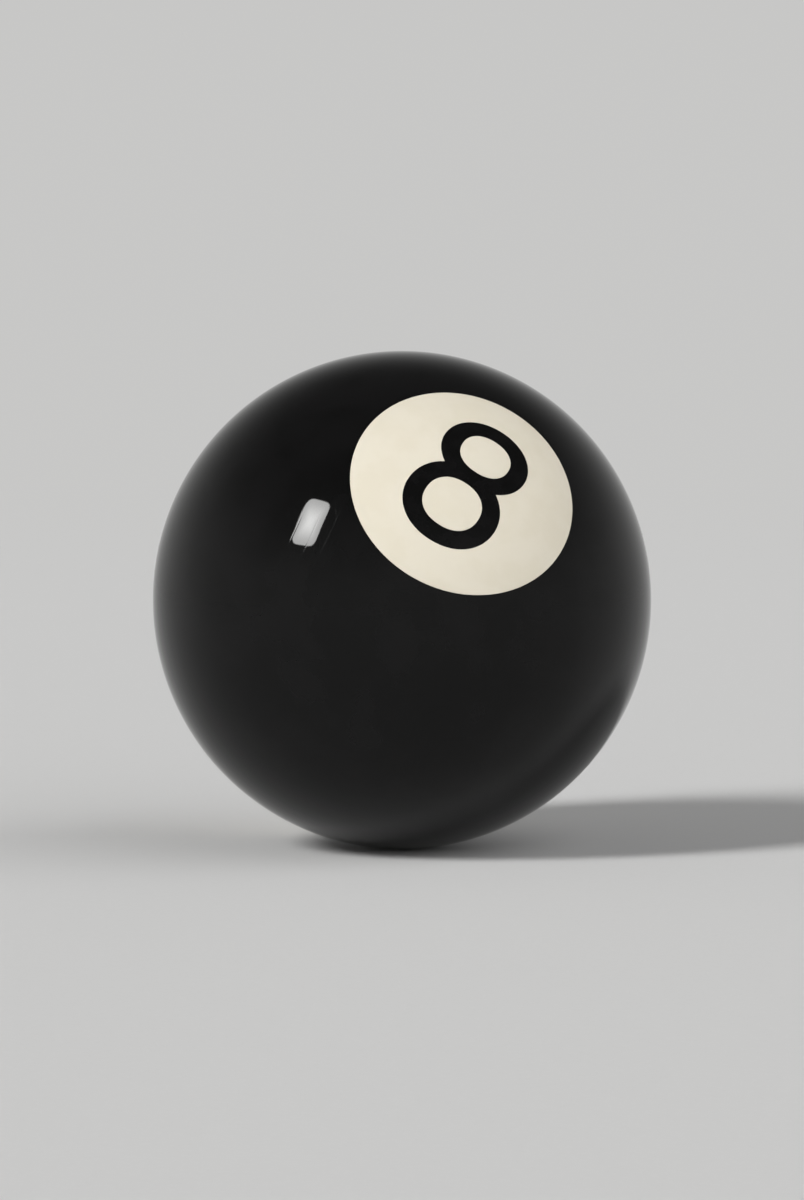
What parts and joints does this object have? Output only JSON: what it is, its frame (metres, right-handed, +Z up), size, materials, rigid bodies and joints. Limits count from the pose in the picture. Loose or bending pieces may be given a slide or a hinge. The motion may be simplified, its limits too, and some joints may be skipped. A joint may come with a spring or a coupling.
{
  "type": "numbered pool ball",
  "caption": "Solid black resin ball for pool, with a flush ivory number disc and an inlaid black figure eight on opposite sides; it rolls on a cloth table and is struck by other balls.",
  "frame": {"origin": "centre of the ball", "axes": "+Z up as the ball lies, -Y forwards; the number axis runs through the centre of both discs, and its front end points forwards and 34.5 degrees up, and the ball is then rolled 27 degrees to the right"},
  "size_m": [0.0572, 0.057, 0.0572],
  "materials": {
    "black_resin": "deep black cast phenolic resin, ground true and polished to a mirror gloss",
    "ivory_resin": "warm ivory cast phenolic resin, opaque, polished flush with the ball",
    "numeral_resin": "black cast phenolic resin, polished flush with the disc around it"
  },
  "bodies": {
    "root": {"ball_body": "black_resin", "number_disc_front": "ivory_resin", "numeral_front": "numeral_resin", "upper_loop_centre_front": "ivory_resin", "lower_loop_centre_front": "ivory_resin", "number_disc_back": "ivory_resin", "numeral_back": "numeral_resin", "upper_loop_centre_back": "ivory_resin", "lower_loop_centre_back": "ivory_resin"}
  },
  "joints": []
}
